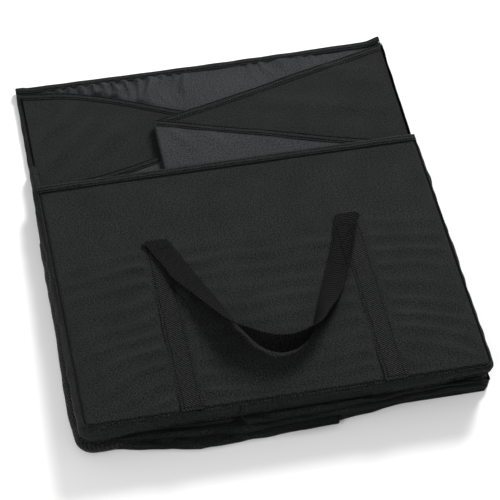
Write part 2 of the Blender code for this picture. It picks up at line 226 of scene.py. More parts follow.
class Shape:
    """Collects meshes that become one piece. UVs are in metres."""

    def __init__(self):
        self.points = []
        self.faces = []
        self.uvs = []
        self.count = 0

    def add(self, points, faces, uvs):
        self.points.append(points)
        self.faces += [tuple(int(i) + self.count for i in face) for face in faces]
        self.uvs.append(uvs)
        self.count += len(points)

    def cloth(self, grid, thickness):
        """A closed sheet around a grid of points, (rows, columns, 3)."""
        grid = np.asarray(grid, float)
        rows, columns = grid.shape[:2]
        normal = np.cross(np.gradient(grid, axis=0), np.gradient(grid, axis=1))
        normal /= np.linalg.norm(normal, axis=2, keepdims=True) + 1e-12
        half = normal * np.broadcast_to(thickness, (rows, columns))[..., None] / 2
        points = np.concatenate([(grid + half).reshape(-1, 3), (grid - half).reshape(-1, 3)])
        index = np.arange(rows * columns).reshape(rows, columns)
        corners = [index[:-1, :-1], index[1:, :-1], index[1:, 1:], index[:-1, 1:]]
        upper = np.stack(corners, 2).reshape(-1, 4)
        lower = upper[:, ::-1] + rows * columns
        ring = np.concatenate([index[:, 0], index[-1, 1:], index[-2::-1, -1], index[0, -2:0:-1]])
        following = np.roll(ring, -1)
        rim = np.stack([following, ring, ring + rows * columns, following + rows * columns], 1)
        u = np.zeros((rows, columns))
        v = np.zeros((rows, columns))
        u[1:] = np.cumsum(np.linalg.norm(np.diff(grid, axis=0), axis=2), axis=0)
        v[:, 1:] = np.cumsum(np.linalg.norm(np.diff(grid, axis=1), axis=2), axis=1)
        uv = np.stack([u, v], 2).reshape(-1, 2)
        self.add(points, np.concatenate([upper, lower, rim]), np.concatenate([uv, uv]))
        return self

    def slacken(self, grid, first, last, slack):
        """Gives each column slack metres more cloth in the UVs, between the rows first and last."""
        share = np.clip((np.arange(len(grid)) - first) / (last - first), 0.0, 1.0)
        extra = (share[:, None] * slack[None, :]).ravel()
        self.uvs[-1][:, 0] += np.concatenate([extra, extra])
        return self

    def tube(self, line, radius, sides=8):
        """A round cord along a line of points, with closed ends."""
        line = np.asarray(line, float)
        along = np.gradient(line, axis=0)
        along /= np.linalg.norm(along, axis=1, keepdims=True)
        side = np.cross(along, (0.0, 0.0, 1.0))
        side /= np.linalg.norm(side, axis=1, keepdims=True) + 1e-9
        up = np.cross(side, along)
        turns = np.arange(sides) * math.tau / sides
        across = np.cos(turns)[None, :, None] * side[:, None]
        upwards = np.sin(turns)[None, :, None] * up[:, None]
        rings = line[:, None] + radius * (across + upwards)
        count = len(line)
        index = np.arange(count * sides).reshape(count, sides)
        turned = np.roll(index, -1, axis=1)
        walls = np.stack([index[:-1], turned[:-1], turned[1:], index[1:]], 2).reshape(-1, 4)
        faces = [tuple(face) for face in walls[:, ::-1]] + [tuple(index[0]), tuple(index[-1][::-1])]
        u = np.repeat(lengths(line), sides)
        v = np.tile(turns * radius, count)
        self.add(rings.reshape(-1, 3), faces, np.stack([u, v], 1))
        return self

    def stitches(self, line, sides=6):
        """A row of short raised threads along a line of points, each with its two ends sunk in."""
        line = np.asarray(line, float)
        run = lengths(line)
        turns = np.arange(sides) * math.tau / sides
        faces = []
        for i in range(1, sides + 1):
            j = i % sides + 1
            faces += [(0, i, j), (i, i + sides, j + sides, j), (2 * sides + 1, j + sides, i + sides)]
        for start in np.arange(STITCH_PITCH / 2, run[-1] - STITCH, STITCH_PITCH):
            a, b = [np.array([np.interp(place, run, line[:, k]) for k in range(3)])
                    for place in (start, start + STITCH)]
            along = (b - a) / (np.linalg.norm(b - a) + 1e-9)
            side = np.cross(along, (0.0, 0.0, 1.0))
            side /= np.linalg.norm(side) + 1e-9
            up = np.cross(side, along)
            ring = THREAD * (np.cos(turns)[:, None] * side + np.sin(turns)[:, None] * up)
            taper = (b - a) * 0.22
            sunk = up * THREAD
            points = np.concatenate([[a - sunk], a + taper + ring, b - taper + ring, [b - sunk]])
            self.add(points, faces, np.zeros((len(points), 2)))
        return self

    def piece(self, name, cloth):
        """Makes the object from one of CLOTHS, with y turned into the frame's Y."""
        points = np.concatenate(self.points)
        points[:, 1] += FOOT
        mesh = bpy.data.meshes.new(name)
        mesh.from_pydata(points.tolist(), [], self.faces)
        layer = mesh.uv_layers.new(name="UVMap")
        corners = np.zeros(len(mesh.loops), int)
        mesh.loops.foreach_get("vertex_index", corners)
        layer.data.foreach_set("uv", np.concatenate(self.uvs)[corners].astype(np.float32).ravel())
        mesh.shade_smooth()
        mesh.set_sharp_from_angle(angle=math.radians(52))
        mesh.materials.append(CLOTHS[cloth])
        piece = bpy.data.objects.new(name, mesh)
        bpy.context.scene.collection.objects.link(piece)
        return piece


def rounded_side(y):
    """How far a panel's side draws in near its round lower corners."""
    low = np.clip(PANEL_CORNER - y, 0, PANEL_CORNER)
    return PANEL_CORNER - np.sqrt(PANEL_CORNER ** 2 - low ** 2)


def panel_points(ys, across, inset):
    """x and y of a grid that fills a panel up to inset from its sides. across runs from -1 to 1."""
    x = across[None, :] * (HALF_WIDTH - inset - rounded_side(ys))[:, None]
    return x, np.repeat(ys[:, None], len(across), axis=1)


def panel_path(foot, top, side, spacing=0.003):
    """Points and outward directions down a panel's left side, along its foot and up its right."""
    corner = PANEL_CORNER
    points = []
    outward = []
    for y in np.linspace(top, foot + corner, int((top - foot - corner) / spacing), endpoint=False):
        points.append((-side, y))
        outward.append((-1.0, 0.0))
    for turn in np.linspace(180, 270, 8, endpoint=False):
        a = math.radians(turn)
        x = -side + corner + corner * math.cos(a)
        points.append((x, foot + corner + corner * math.sin(a)))
        outward.append((math.cos(a), math.sin(a)))
    for x in np.linspace(-side + corner, 0, int((side - corner) / spacing), endpoint=False):
        points.append((x, foot))
        outward.append((0.0, -1.0))
    points = points + [(0.0, foot)] + [(-x, y) for x, y in points[::-1]]
    outward = outward + [(0.0, -1.0)] + [(-x, y) for x, y in outward[::-1]]
    return np.array(points), np.array(outward)


def sweep(path, outward, profile):
    """A grid along a path, from profile(i) = rows of (distance outwards, height)."""
    grid = []
    for i, ((x, y), (ox, oy)) in enumerate(zip(path, outward)):
        grid.append([(x + ox * out, y + oy * out, z) for out, z in profile(i)])
    return np.array(grid)


# --- materials ---

class Nodes:
    """Short forms for building one material's node tree."""

    def __init__(self, name):
        self.material = bpy.data.materials.new(name)
        self.material.use_nodes = True
        self.tree = self.material.node_tree
        self.shader = self.tree.nodes["Principled BSDF"]

    def node(self, kind, **values):
        made = self.tree.nodes.new(kind)
        for key, value in values.items():
            if key in made.inputs:
                made.inputs[key].default_value = value
            else:
                setattr(made, key, value)
        return made

    def link(self, source, target):
        self.tree.links.new(source, target)

    def math(self, operation, a, b=None):
        made = self.tree.nodes.new("ShaderNodeMath")
        made.operation = operation
        for socket, value in zip(made.inputs, (a, b)):
            if value is None:
                continue
            if isinstance(value, (int, float)):
                socket.default_value = value
            else:
                self.link(value, socket)
        return made.outputs[0]

    def ramp(self, source, low, high, positions):
        made = self.tree.nodes.new("ShaderNodeValToRGB")
        for element, place, shade in zip(made.color_ramp.elements, positions, (low, high)):
            element.position = place
            element.color = (*shade, 1.0)
        self.link(source, made.inputs[0])
        return made.outputs[0]

    def noise(self, vector, scale, detail, roughness):
        made = self.node("ShaderNodeTexNoise", Scale=scale, Detail=detail, Roughness=roughness)
        self.link(vector, made.inputs["Vector"])
        return made.outputs[0]

    def multiply(self, a, b):
        made = self.tree.nodes.new("ShaderNodeMix")
        made.data_type = "RGBA"
        made.blend_type = "MULTIPLY"
        made.inputs[0].default_value = 1.0
        self.link(a, made.inputs[6])
        self.link(b, made.inputs[7])
        return made.outputs[2]


WHITE = (1.0, 1.0, 1.0)
BLACK = (0.0102, 0.0112, 0.0106)
LINING_GREY = (0.0180, 0.0190, 0.0206)
CLOUD_SCALE = 22.0
WEAR_SCALE = 150.0


def shade(colour, factor):
    return tuple(channel * factor for channel in colour)


def woven(name, colour, thread, rib, grain, roughness, shine, relief,
          mottle=0.16, depth=0.35, place="UV"):
    """Woven cloth: a regular weave, irregular grain, soft clouds and pale worn specks.

    thread and rib are the weave's periods along and across and relief is its height, in metres.
    grain is the scale of the irregular threads, mottle the strength of the clouds and depth that
    of the weave. place is the kind of coordinates that it lies in.
    """
    n = Nodes(name)
    where = n.node("ShaderNodeTexCoord").outputs[place]
    split = n.node("ShaderNodeSeparateXYZ")
    n.link(where, split.inputs[0])
    warp = n.math("SINE", n.math("MULTIPLY", split.outputs[0], math.tau / thread))
    weft = n.math("SINE", n.math("MULTIPLY", split.outputs[1], math.tau / rib))
    weave = n.math("MULTIPLY", warp, weft)
    fine = n.noise(where, grain, 2.0, 0.7)
    cloudy = n.noise(where, CLOUD_SCALE, 4.0, 0.6)
    worn = n.noise(where, WEAR_SCALE, 5.0, 0.75)
    base = n.ramp(fine, shade(colour, 0.10), shade(colour, 2.20), (0.38, 0.64))
    clouds = n.ramp(cloudy, shade(WHITE, 1 - mottle), shade(WHITE, 1 + mottle), (0.32, 0.68))
    specks = n.ramp(worn, WHITE, (1.5, 1.5, 1.48), (0.60, 0.78))
    raised = n.math("ADD", n.math("MULTIPLY", weave, 0.5), 0.5)
    threads = n.ramp(raised, shade(WHITE, 1 - depth), shade(WHITE, 1 + depth), (0.0, 1.0))
    tinted = n.multiply(n.multiply(base, clouds), n.multiply(specks, threads))
    n.link(tinted, n.shader.inputs["Base Color"])
    rough = n.node("ShaderNodeMapRange")
    n.link(fine, rough.inputs["Value"])
    rough.inputs["To Min"].default_value = max(0.0, roughness - 0.10)
    rough.inputs["To Max"].default_value = min(1.0, roughness + 0.12)
    n.link(rough.outputs[0], n.shader.inputs["Roughness"])
    height = n.math("ADD", n.math("MULTIPLY", weave, 0.5), n.math("MULTIPLY", fine, 0.9))
    bump = n.node("ShaderNodeBump", Strength=0.85, Distance=relief)
    n.link(height, bump.inputs["Height"])
    n.link(bump.outputs[0], n.shader.inputs["Normal"])
    n.shader.inputs["Sheen Weight"].default_value = shine * 0.25
    n.shader.inputs["Sheen Roughness"].default_value = 0.40
    n.shader.inputs["Specular IOR Level"].default_value = shine
    return n.material


def make_cloths():
    """The bin's cloths, tapes and threads. The numbers are in the order of woven's arguments."""
    soft = shade(BLACK, 0.92)
    strap = shade(BLACK, 0.62)
    # loop: the straps' own webbing at half their brightness, painted shade standing in for the shaded
    # side of the loop that stands on edge
    loop = shade(BLACK, 0.30)
    edge = shade(BLACK, 0.60)
    tape = shade(BLACK, 0.84)
    # thread: much darker than the black cloth, partly the thread's own black and partly painted shade
    # of the stitch rows sunk into the cloth
    thread = (0.0022, 0.0023, 0.0023)
    recipes = {
        "cover": ("black_polyester_cover", BLACK, 0.0015, 0.0015, 560, 0.56, 0.034, 0.00045),
        "soft": ("black_polyester_soft", soft, 0.0015, 0.0015, 560, 0.50, 0.038, 0.00045),
        "lining": ("grey_nylon_lining", LINING_GREY, 0.0011, 0.0011, 620, 0.46, 0.055, 0.00025,
                   0.12, 0.15),
        "webbing": ("ribbed_webbing", strap, 0.0036, 0.0036, 420, 0.52, 0.055, 0.0016, 0.12, 0.98),
        "loop": ("loop_webbing", loop, 0.0036, 0.0036, 420, 0.52, 0.028, 0.0016, 0.12, 0.98),
        "coarse": ("coarse_edge_webbing", edge, 0.0046, 0.0046, 400, 0.52, 0.100, 0.0020,
                   0.14, 0.98),
        "tape": ("ribbed_binding_tape", tape, 0.0034, 0.0040, 430, 0.56, 0.036, 0.0008, 0.12, 0.60),
        "thread": ("sewing_thread", thread, 0.0006, 0.0006, 1500, 0.50, 0.020, 0.00006,
                   0.10, 0.20, "Object"),
    }
    return {key: woven(*values) for key, values in recipes.items()}


CLOTHS = make_cloths()


# --- the front panel ---

# Each side of a strap: its stitched edge, which way is outwards, how far the puckers reach, their
# height, and how steeply they fall away near the hem and near the foot.
PUCKERS = [
    (STRAPS["left"][0].x, -1, 0.085, 0.0034, 0.02, 0.45),
    (STRAPS["left"][1].x, 1, 0.050, 0.0030, 0.00, 0.10),
    (STRAPS["right"][0].x, -1, 0.075, 0.0024, 0.00, 0.06),
    (STRAPS["right"][1].x, 1, 0.065, 0.0032, 0.10, 0.36),
]
PUCKER_SPACING = 0.0245
STRAP_TOP = STRAPS["left"][1].y - FOOT


def face_relief(x, y):
    """The puckers and soft waves of the front cover, above its flat face."""
    total = 0.0009 * ripple(x, y, 0.13, 11) * ease(y, 0.0, 0.03) * ease(FRONT_TOP - y, 0.0, 0.05)
    for number, (edge, outwards, reach, height, slope_hem, slope_foot) in enumerate(PUCKERS):
        away = (x - edge) * outwards
        share = np.clip(y / STRAP_TOP, 0, 1)
        level = y + (slope_foot + (slope_hem - slope_foot) * share) * away
        phase = level / PUCKER_SPACING + 0.16 * ripple(x, y, 0.09, 30 + number)
        wave = 0.5 + 0.5 * np.cos(math.tau * phase)
        fade = ease(away, 0.0, 0.012) * np.exp(-np.maximum(away, 0) / reach)
        patchy = 0.65 + 0.35 * ripple(x, y, 0.08, 50 + number)
        window = ease(y, 0.004, 0.022) * (1 - ease(y, STRAP_TOP - 0.040, STRAP_TOP))
        total = total + height * fade * patchy * window * wave ** 1.6
    return total


def cover_height(x, y):
    """The front cover's upper side, crowned over the foam and rolled down to the edge seam."""
    side = HALF_WIDTH - SEAM_INSET - rounded_side(y)
    edge = np.minimum(side - np.abs(x), y - SEAM_INSET)
    roll = 0.0024 * (1 - ease(edge, -0.001, 0.0030)) ** 1.5
    crown = 0.0014 * ease(edge, 0.0, 0.06) * ease(FRONT_TOP - y, 0.0, 0.08)
    calm = ease(edge, 0.002, 0.014)
    return front_face(y) - 0.0002 + crown + face_relief(x, y) * calm - roll


def build_front_cover():
    """The black padded cover, from the hem to the seam around its edge."""
    near_foot = np.linspace(SEAM_INSET, 0.012, 10, endpoint=False)
    ys = np.concatenate([near_foot, np.linspace(0.012, FRONT_TOP - 0.002, 176)])
    across = np.linspace(-1, 1, 230)
    across = np.sign(across) * np.abs(across) ** 0.93
    x, y = panel_points(ys, across, SEAM_INSET)
    grid = np.stack([x, y, cover_height(x, y) - COVER / 2], 2)
    cover = Shape().cloth(grid[:, ::-1], COVER).piece("front_cover", "cover")
    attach(cover, "front_panel")
    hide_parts("front_outer_skin", "front_padding")


def band_profile(path, i, count):
    """The boxing strip's section: down from the cover's seam, over a bulge, to its lower seam."""
    x, y = path[i]
    share = i / (count - 1)
    top = front_face(y) - 0.0016
    left_drop = 0.0085 * float(1 - ease(x, -0.215, -0.150))
    right_rise = 0.0070 * float(ease(x, 0.150, 0.215))
    low = min(0.0265 - left_drop + right_rise, front_face(y) - 0.0085)
    fullness = 0.0040 * float(1 - ease(share, 0.30, 0.42)) + 0.0016
    wrinkle = 0.0012 * float(ripple(np.array(share * 1.2), np.array(0.0), 0.030, 71))
    crease = 0.0030 * math.exp(-((x + 0.054) / 0.0022) ** 2) * (1 if y < 0.002 else 0)
    rows = [
        (-SEAM_INSET - 0.0006, top - 0.0022),
        (-SEAM_INSET + 0.0008, top - 0.0024),
        (-0.0022, top - 0.0012),
    ]
    for t in np.linspace(0, 1, 13):
        swell = math.sin(math.pi * min(1.0, t * 1.08)) * fullness
        fine = (wrinkle - crease) * math.sin(math.pi * t) ** 0.7
        fine = fine + 0.0003 * math.sin(19 * t + 31 * share)
        rows.append((-0.0016 + swell + fine + 0.0012 * t, top + (low - top) * t))
    rows += [
        (-0.0030, low - 0.0012),
        (-0.0060, (low + FRONT_UNDERSIDE) / 2),
        (-0.0080, FRONT_UNDERSIDE + 0.0006),
    ]
    return rows


def build_front_band():
    """The boxing strip round the front panel's sides and foot, with a piping at each seam."""
    path, outward = panel_path(0.0, FRONT_TOP - 0.004, HALF_WIDTH)
    grid = sweep(path, outward, lambda i: band_profile(path, i, len(path)))
    band = Shape().cloth(grid, SKIN).piece("front_boxing", "soft")
    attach(band, "front_panel")
    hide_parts("front_edge_band")
    out = np.concatenate([outward, np.zeros((len(outward), 1))], axis=1)
    piping = Shape().tube(grid[:, 3] + out * 0.0006 + (0, 0, 0.0003), 0.0009)
    piping.tube(grid[:, 15] + out * 0.0002, 0.0010)
    piping = piping.piece("front_piping", "tape")
    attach(piping, "front_panel")


def build_front_hem():
    """The folded hem along the front panel's open edge. Returns the lines of its two rows."""
    xs = np.linspace(-HALF_WIDTH + 0.0005, HALF_WIDTH - 0.0005, 190)
    rise = front_face(FRONT_TOP) - FRONT_UNDERSIDE
    grid = []
    for x in xs:
        wave = 0.0005 * float(ripple(np.array(x), np.array(0.0), 0.05, 81))
        corner = 0.0015 * float(ease(np.array(abs(x)), HALF_WIDTH - 0.010, HALF_WIDTH))
        rows = []
        for t in np.linspace(0, 1, 20):
            y = FRONT_TOP - HEM_WIDTH + t * (HEM_WIDTH - 0.0042)
            lift = 0.0010 + 0.0004 * math.sin(math.pi * t) ** 0.6 + wave * t
            lift = lift - groove(FRONT_TOP - y, HEM_ROWS)
            rows.append((x, y, front_face(y) + lift - corner))
        for turn in np.linspace(76, -80, 9):
            a = math.radians(turn)
            y = FRONT_TOP - 0.0042 + 0.0042 * math.cos(a) ** 0.6
            rows.append((x, y, FRONT_UNDERSIDE + (rise + 0.0009) * (0.5 + 0.5 * math.sin(a)) - corner))
        for t in np.linspace(0.05, 1, 4):
            rows.append((x, FRONT_TOP - 0.0042 - t * (HEM_WIDTH - 0.0042), FRONT_UNDERSIDE + 0.0004))
        grid.append(rows)
    hem = Shape().cloth(np.array(grid), SKIN).piece("front_hem", "tape")
    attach(hem, "front_panel")
    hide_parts("front_top_binding")
    rows = []
    for inset in HEM_ROWS:
        y = FRONT_TOP - inset
        rows.append([(x, y, front_face(y) + 0.0012) for x in xs[2:-2]])
    return rows


def build_front_lining():
    """The lining on the front panel's inner side."""
    ys = np.linspace(0.004, FRONT_TOP - HEM_WIDTH + 0.003, 60)
    x, y = panel_points(ys, np.linspace(-1, 1, 60), 0.007)
    z = FRONT_UNDERSIDE + 0.0008 + 0.0003 * ripple(x, y, 0.08, 91)
    lining = Shape().cloth(np.stack([x, y, z], 2), SKIN).piece("front_inner_lining", "lining")
    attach(lining, "front_panel")
    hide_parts("front_lining")


def strap_grid(box, rows=90, columns=9):
    """A sewn strap's middle surface, with its long edges pulled down by the stitching."""
    low, high = box
    ys = np.linspace(low.y - FOOT, high.y - FOOT, rows)
    across = np.linspace(-1, 1, columns)
    sway = 0.0004 * np.sin(ys * 95)[:, None]
    x = (low.x + high.x) / 2 + across[None, :] * (high.x - low.x) / 2 + sway
    y = np.repeat(ys[:, None], columns, axis=1)
    z = front_face(y) + 0.0017 - 0.0006 * np.abs(across[None, :]) ** 4
    return np.stack([x, y, z], 2)


def build_straps():
    """The two webbing straps sewn up the front panel. Returns the lines of their stitches."""
    rows = []
    for side, box in STRAPS.items():
        grid = strap_grid(box)
        strap = Shape().cloth(grid[:, ::-1], WEBBING - 0.0004).piece(f"sewn_strap_{side}", "webbing")
        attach(strap, "front_panel")
        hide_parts(f"handle_strap_{side}")
        rows += [grid[:, 1] + (0, 0, 0.0009), grid[:, -2] + (0, 0, 0.0009)]
        rows.append(grid[1] + (0, 0.0015, 0.0010))
    return rows


def build_seam_tape(node, body):
    """The taped step between a panel and the gusset that is sewn to it, a soft strip on edge."""
    low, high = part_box(node)
    side = 1 if low.x > 0 else -1
    outer = max(abs(low.x), abs(high.x)) - 0.0009
    ys = np.linspace(STRIP_FOOT, high.y - FOOT, 150)
    heights = np.linspace(low.z - 0.0003, high.z + 0.0003, 7)
    y, z = np.meshgrid(ys, heights, indexing="ij")
    bulge = 0.0006 * np.sin((z - low.z) / (high.z - low.z) * math.pi)
    x = side * (outer + bulge + 0.0003 * ripple(y, z, 0.03, 131))
    tape = Shape().cloth(np.stack([x, y, z], 2)[::side], SKIN).piece(f"{body}_seam_strip", "tape")
    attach(tape, body)
    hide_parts(node)


# --- the handle ---

def handle_grid(stations=170, columns=11):
    """The loop's middle surface between its two edges, slightly curled across its width."""
    inner = spline([edge[0] for edge in HANDLE_EDGES], stations)
    outer = spline([edge[1] for edge in HANDLE_EDGES], stations)
    for edge in (inner, outer):
        edge[:, 2] += front_face(edge[:, 1])
    share = np.linspace(0, 1, columns)[None, :, None]
    grid = inner[:, None] * (1 - share) + outer[:, None] * share
    normal = np.cross(np.gradient(grid, axis=0), np.gradient(grid, axis=1))
    normal /= np.linalg.norm(normal, axis=2, keepdims=True)
    free = np.sin(np.linspace(0, math.pi, stations)) ** 2
    curl = 0.0016 * free[:, None, None] * np.sin(share * math.pi)
    return grid - normal * curl


def build_handle():
    """The carrying loop, with a stitched box and cross at its right end and a row at its left."""
    grid = handle_grid()
    edge = np.abs(np.linspace(-1, 1, grid.shape[1])) ** 6
    thickness = np.repeat((WEBBING - 0.0007 * edge)[None, :], len(grid), axis=0)
    loop = Shape().cloth(grid, thickness).piece("carrying_loop", "loop")
    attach(loop, "handle")
    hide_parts("handle_loop")
    lift = np.array((0, 0, WEBBING / 2 + 0.0001))
    right = grid[-24:-6]
    box = [right[0, 1:-1], right[-1, 1:-1], right[:, 1], right[:, -2]]
    cross = [right[[0, -1], [1, -2]], right[[0, -1], [-2, 1]]]
    rows = Shape()
    for line in box + cross + [grid[4, 1:-1]]:
        rows.stitches(line + lift)
    thread = rows.piece("loop_stitching", "thread")
    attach(thread, "handle")


def build_strap_folds():
    """Where each strap turns over at its top and becomes the loop, built in one fixed shape; on the
    real bin it bends as the handle swings.
    """
    ends = {"left": (HANDLE_EDGES[0], 0.0030), "right": (HANDLE_EDGES[-1], 0.0004)}
    for side, (edge, bow) in ends.items():
        low, high = STRAPS[side]
        upper_x = sorted((edge[0][0], edge[1][0]))
        rows = []
        for t in np.linspace(-1, 1, 17):
            turn = math.radians(90 * max(-1.0, min(1.0, t / 0.7)))
            flat = max(0.0, abs(t) - 0.7) / 0.3 * 0.006
            height = front_face(STRAP_TOP) + 0.0026 + 0.0012 * math.sin(turn)
            share = (t + 1) / 2
            columns = []
            for s in np.linspace(0, 1, 11):
                lower = low.x + (high.x - low.x) * s
                upper = upper_x[0] + (upper_x[1] - upper_x[0]) * s
                arch = bow * (1 - (2 * s - 1) ** 2)
                y = STRAP_TOP - 0.0004 + 0.0012 * math.cos(turn) + arch - flat
                columns.append((lower + (upper - lower) * share, y, height))
            rows.append(columns)
        fold = Shape().cloth(np.array(rows), WEBBING - 0.0006).piece(f"strap_fold_{side}", "webbing")
        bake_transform(fold)


# --- the rear panel ---

# Soft diagonal folds in the rear lining: start, end, width and height.
REAR_CRESTS = [
    ((-0.116, 0.548), (-0.150, 0.506), 0.0045, 0.0040),
    ((-0.094, 0.548), (-0.124, 0.508), 0.0050, 0.0040),
    ((-0.055, 0.545), (-0.085, 0.502), 0.0060, 0.0030),
    ((-0.020, 0.545), (-0.030, 0.512), 0.0060, 0.0026),
]


def gathers(x, y, spacing, swing, size, seed, power):
    """Small tucks side by side, of height 1, that run down from a hem."""
    return (0.5 + 0.5 * np.sin(x / spacing * math.tau + swing * ripple(x, y, size, seed))) ** power


def rear_relief(x, y):
    """Gathers that hang from the rear hem, and soft folds below them, above the left gusset."""
    below = REAR_TOP - 0.010 - y
    fall = np.maximum(below, 0)
    start = ease(below, 0.0, 0.004)
    zone = ease(x, -0.215, -0.185) * (1 - ease(x, -0.060, -0.005))
    many = gathers(x, y, 0.0140, 2.2, 0.06, 5, 2.2)
    total = 0.0040 * zone * many * np.exp(-fall / 0.020) * start
    zone = ease(x, 0.03, 0.06) * (1 - ease(x, 0.13, 0.17))
    few = gathers(x, y, 0.019, 2.0, 0.05, 6, 2)
    total = total + 0.0022 * zone * few * np.exp(-fall / 0.014) * start
    for first, last, width, height in REAR_CRESTS:
        total = total + height * crest(x, y, first, last, width)
    total = total + 0.0006 * (1 + ripple(x, y, 0.06, 7))
    return total * ease(y - curve_through(GUSSET_TOPS["left", "rear"])(x), -0.001, 0.009)


def build_rear_cover():
    """The outer cloth that the folded bin lies on."""
    ys = np.linspace(0.001, REAR_TOP - 0.003, 90)
    x, y = panel_points(ys, np.linspace(-1, 1, 80), 0.002)
    z = SKIN / 2 + 0.0002 + 0.00018 * (1 + ripple(x, y, 0.09, 15))
    cover = Shape().cloth(np.stack([x, y, z], 2)[:, ::-1], SKIN).piece("rear_cover", "cover")
    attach(cover, "rear_panel")
    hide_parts("rear_outer_skin", "rear_stiffener_board")


def build_rear_lining():
    """The grey lining on the rear panel's inner side, gathered into the hem."""
    plain = np.linspace(0.002, 0.44, 40, endpoint=False)
    ys = np.concatenate([plain, np.linspace(0.44, REAR_TOP - 0.006, 90)])
    x, y = panel_points(ys, np.linspace(-1, 1, 260), 0.003)
    z = REAR_FACE - SKIN / 2 + rear_relief(x, y)
    lining = Shape().cloth(np.stack([x, y, z], 2)[:, ::-1], SKIN).piece("rear_inner_lining", "lining")
    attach(lining, "rear_panel")
    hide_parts("rear_lining")


def left_bulge(y):
    """How far the rear panel's left edge stands out beyond the seam line."""
    return float(np.interp(y, (0.0, 0.020, 0.050, 0.110, 0.170, 0.300, 0.380, 0.560),
                           (0.0055, 0.0080, 0.0100, 0.0086, 0.0066, 0.0060, 0.0036, 0.0012)))


def build_rear_edge():
    """The side walls of the rear panel, and the coarse webbing that binds its left lower part."""
    path, outward = panel_path(0.003, REAR_TOP - 0.006, HALF_WIDTH - 0.001)

    def section(i, extra, top, lift):
        x, y = path[i]
        left = float(1 - ease(np.array(x), -0.215, -0.150))
        out = left_bulge(y) * left + 0.0008 + extra
        wave = 0.0004 * float(ripple(np.array(x), np.array(y), 0.03, 25))
        height = (top - 0.0004) * (0.55 + 0.45 * left) if y < 0.42 else REAR_FACE
        rows = []
        for turn in np.linspace(-86, 150, 15):
            a = math.radians(turn)
            reach = out * math.cos(a) if turn < 90 else 0.0060 * math.cos(a)
            z = height * (0.5 + 0.5 * math.sin(a)) + lift
            rows.append((reach + wave, z))
        return rows

    wall_grid = sweep(path, outward, lambda i: section(i, 0.0, 0.0150, 0.0007))
    wall = Shape().cloth(wall_grid, SKIN).piece("rear_side_wall", "soft")
    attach(wall, "rear_panel")
    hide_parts("rear_edge_tape")
    bound = [i for i, (x, y) in enumerate(path) if x < -0.185 and y < 0.302]
    binding_grid = sweep(path[bound], outward[bound],
                         lambda i: section(bound[i], 0.0010, 0.0160, 0.0007))
    binding = Shape().cloth(binding_grid[:, :12], 0.0012).piece("rear_edge_binding", "coarse")
    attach(binding, "rear_panel")


def build_rear_hem():
    """The tape folded over the rear panel's top edge, with a squared tab at its left corner.

    Returns the lines of its two rows of stitches.
    """
    xs = np.linspace(-HALF_WIDTH - 0.0010, HALF_WIDTH - 0.0015, 200)
    thick = REAR_FACE + 0.0012
    grid = []
    for x in xs:
        tab = float(1 - ease(np.array(x), -0.2185, -0.2165))
        tip = float(ease(np.array(x), 0.200, 0.2265)) ** 2
        sag = -0.0018 * math.sin(math.pi * min(1.0, max(0.0, (x + 0.2) / 0.41)))
        top = REAR_TOP - 0.0006 + sag + 0.0010 * tab + 0.0030 * tip
        lift = 0.0030 * tip + 0.0004 * float(ripple(np.array(x), np.array(0.0), 0.045, 35))
        rows = []
        for t in np.linspace(0, 1, 19):
            y = top - TAPE_WIDTH + t * (TAPE_WIDTH - 0.0028)
            swell = 0.0006 * math.sin(math.pi * t) - groove(top - y, TAPE_ROWS)
            rows.append((x, y, thick + swell + lift))
        for turn in np.linspace(80, -80, 9):
            a = math.radians(turn)
            height = 0.0006 + lift + (thick - 0.0006) * (0.5 + 0.5 * math.sin(a))
            rows.append((x, top - 0.0028 + 0.0028 * math.cos(a), height))
        for t in np.linspace(0.05, 1, 4):
            y = top - 0.0028 - t * (TAPE_WIDTH - 0.0028)
            rows.append((x, y, 0.0006 + lift * (1 - t)))
        grid.append(rows)
    grid = np.array(grid)
    hem = Shape().cloth(grid, SKIN).piece("rear_hem", "tape")
    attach(hem, "rear_panel")
    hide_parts("rear_top_binding")
    return [grid[2:-2, row] + (0, 0, SKIN / 2) for row in (5, 18)]


# --- the gussets ---

# Creases in the gussets above the front hem: start, end, width and height. Both gussets share the
# first ones, and the right gusset alone has the others.
SHARED_CRESTS = [
    ((-0.218, 0.455), (-0.160, 0.512), 0.008, 0.0030),
    ((-0.216, 0.412), (-0.140, 0.486), 0.009, 0.0030),
    ((-0.170, 0.412), (-0.105, 0.470), 0.008, 0.0022),
]
RIGHT_CRESTS = [
    ((0.140, 0.515), (0.214, 0.496), 0.007, 0.0028),
    ((0.160, 0.493), (0.216, 0.478), 0.006, 0.0026),
    ((0.060, 0.470), (0.216, 0.430), 0.008, 0.0024),
    ((-0.062, 0.450), (-0.030, 0.405), 0.005, 0.0018),
    ((-0.020, 0.440), (0.010, 0.395), 0.006, 0.0016),
    ((0.040, 0.425), (0.075, 0.390), 0.006, 0.0014),
]


def stack_lift(x, y, layer):
    """How far the loose layers above the front hem rise. Layer 1, on top, is the right gusset."""
    lift = 0.0006 * (1 + ripple(x, y, 0.11, 41)) + 0.0003 * (1 + ripple(x, y, 0.05, 42))
    crests = SHARED_CRESTS
    if layer:
        lift = lift + 0.0006 * (1 + ripple(x, y, 0.09, 43))
        crests = SHARED_CRESTS + RIGHT_CRESTS
    for first, last, width, height in crests:
        lift = lift + height * crest(x, y, first, last, width)
    return ease(y, 0.372, 0.420) * lift


# How far a gusset's cloth lies from its crease's height, and the reach of its turn there.
GUSSET_CLOTH = {"skin": (0.00075, 0.0008), "lining": (0.0022, 0.0026)}


